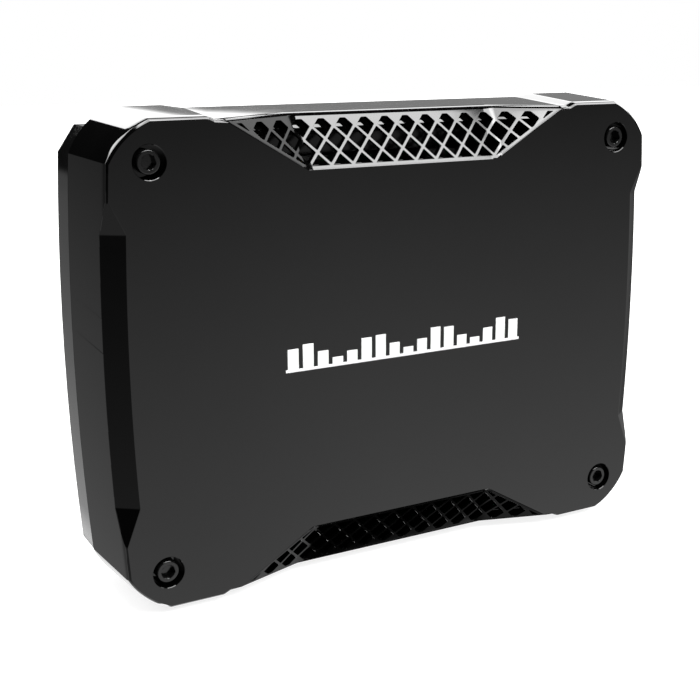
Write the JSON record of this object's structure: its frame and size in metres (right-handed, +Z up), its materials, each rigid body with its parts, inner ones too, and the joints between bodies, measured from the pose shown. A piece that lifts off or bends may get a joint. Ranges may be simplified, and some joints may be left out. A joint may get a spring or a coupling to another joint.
{
  "type": "car amplifier",
  "caption": "Compact black car audio amplifier: drafted cover with diamond-mesh vents and scooped ends on a cast chassis, with inputs, controls, fuse and terminals on one end.",
  "frame": {"origin": "centre of the back mounting face of the chassis base", "axes": "+X right along the length, towards the end panel with the terminals; +Y out of the back mounting face; +Z up; the front face looks along -Y"},
  "size_m": [0.2012, 0.0422, 0.1522],
  "materials": {
    "cover_plastic": "satin black moulded plastic, glossier on its edges",
    "grille_plastic": "gloss black moulded plastic",
    "chassis_metal": "die-cast, black coated",
    "emblem_print": "flat white pad print",
    "screw_steel": "black oxide",
    "panel_plastic": "fine matt texture",
    "terminal_plastic": "moulded nylon",
    "plated_brass": "nickel plated",
    "terminal_steel": "zinc plated",
    "fuse_plastic": "translucent moulded",
    "fuse_metal": "tin plated",
    "knob_plastic": "moulded",
    "component_metal": "tin plated",
    "led_lens": "clear epoxy",
    "circuit_board": "solder mask on glass epoxy",
    "ferrite": "dull",
    "copper_wire": "enamelled wire",
    "capacitor_sleeve": "shrunk sleeve",
    "package_plastic": "moulded epoxy",
    "clamp_aluminium": "milled"
  },
  "bodies": {
    "amplifier": {"front_cover": "cover_plastic", "vent_grille_upper": "grille_plastic", "vent_grille_lower": "grille_plastic", "chassis_base": "chassis_metal", "emblem": "emblem_print", "cover_screw_upper_left": "screw_steel", "cover_screw_upper_right": "screw_steel", "cover_screw_lower_left": "screw_steel", "cover_screw_lower_right": "screw_steel", "connector_panel": "panel_plastic", "rca_block": "terminal_plastic", "speaker_terminal_block": "terminal_plastic", "power_terminal_block": "terminal_plastic", "fuse_holder": "terminal_plastic", "rca_socket_1": "plated_brass", "rca_socket_2": "plated_brass", "rca_socket_3": "plated_brass", "rca_socket_4": "plated_brass", "speaker_terminal_screw_1": "terminal_steel", "speaker_terminal_screw_2": "terminal_steel", "speaker_terminal_screw_3": "terminal_steel", "speaker_terminal_screw_4": "terminal_steel", "speaker_terminal_screw_5": "terminal_steel", "speaker_terminal_screw_6": "terminal_steel", "speaker_terminal_screw_7": "terminal_steel", "speaker_terminal_screw_8": "terminal_steel", "power_terminal_screw_1": "terminal_steel", "power_terminal_screw_2": "terminal_steel", "power_terminal_screw_3": "terminal_steel", "front_gain_potentiometer": "component_metal", "rear_gain_potentiometer": "component_metal", "crossover_potentiometer": "component_metal", "bass_boost_potentiometer": "component_metal", "front_filter_switch_body": "component_metal", "rear_filter_switch_body": "component_metal", "power_led": "led_lens", "main_board": "circuit_board", "control_board": "circuit_board", "toroid_core": "ferrite", "output_choke_1": "ferrite", "output_choke_2": "ferrite", "toroid_winding": "copper_wire", "capacitor_1": "capacitor_sleeve", "capacitor_2": "capacitor_sleeve", "capacitor_3": "capacitor_sleeve", "upper_transistor_1": "package_plastic", "upper_transistor_2": "package_plastic", "lower_transistor_1": "package_plastic", "lower_transistor_2": "package_plastic", "upper_clamp_bar": "clamp_aluminium", "lower_clamp_bar": "clamp_aluminium"},
    "front_gain_control": {"front_gain_knob": "knob_plastic"},
    "rear_gain_control": {"rear_gain_knob": "knob_plastic"},
    "crossover_control": {"crossover_knob": "knob_plastic"},
    "bass_boost_control": {"bass_boost_knob": "knob_plastic"},
    "front_filter_slider": {"front_filter_switch_slider": "knob_plastic"},
    "rear_filter_slider": {"rear_filter_switch_slider": "knob_plastic"},
    "blade_fuse": {"fuse_housing": "fuse_plastic", "fuse_element": "fuse_metal"}
  },
  "joints": [
    {"name": "front_gain_turn", "type": "hinge", "parent": "amplifier", "child": "front_gain_control", "pos_m": [0.095, -0.0155, 0.0195], "axis": [1, 0, 0], "range_deg": [-135, 135]},
    {"name": "rear_gain_turn", "type": "hinge", "parent": "amplifier", "child": "rear_gain_control", "pos_m": [0.095, -0.0155, 0.01], "axis": [1, 0, 0], "range_deg": [-135, 135]},
    {"name": "crossover_turn", "type": "hinge", "parent": "amplifier", "child": "crossover_control", "pos_m": [0.095, -0.0155, 0.0005], "axis": [1, 0, 0], "range_deg": [-135, 135]},
    {"name": "bass_boost_turn", "type": "hinge", "parent": "amplifier", "child": "bass_boost_control", "pos_m": [0.095, -0.0155, -0.009], "axis": [1, 0, 0], "range_deg": [-135, 135]},
    {"name": "front_filter_slide", "type": "slide", "parent": "amplifier", "child": "front_filter_slider", "axis": [0, 0, 1], "range_m": [-0.002, 0.002]},
    {"name": "rear_filter_slide", "type": "slide", "parent": "amplifier", "child": "rear_filter_slider", "axis": [0, 0, 1], "range_m": [-0.002, 0.002]},
    {"name": "fuse_pull", "type": "slide", "parent": "amplifier", "child": "blade_fuse", "axis": [1, 0, 0], "range_m": [0, 0.02]}
  ]
}
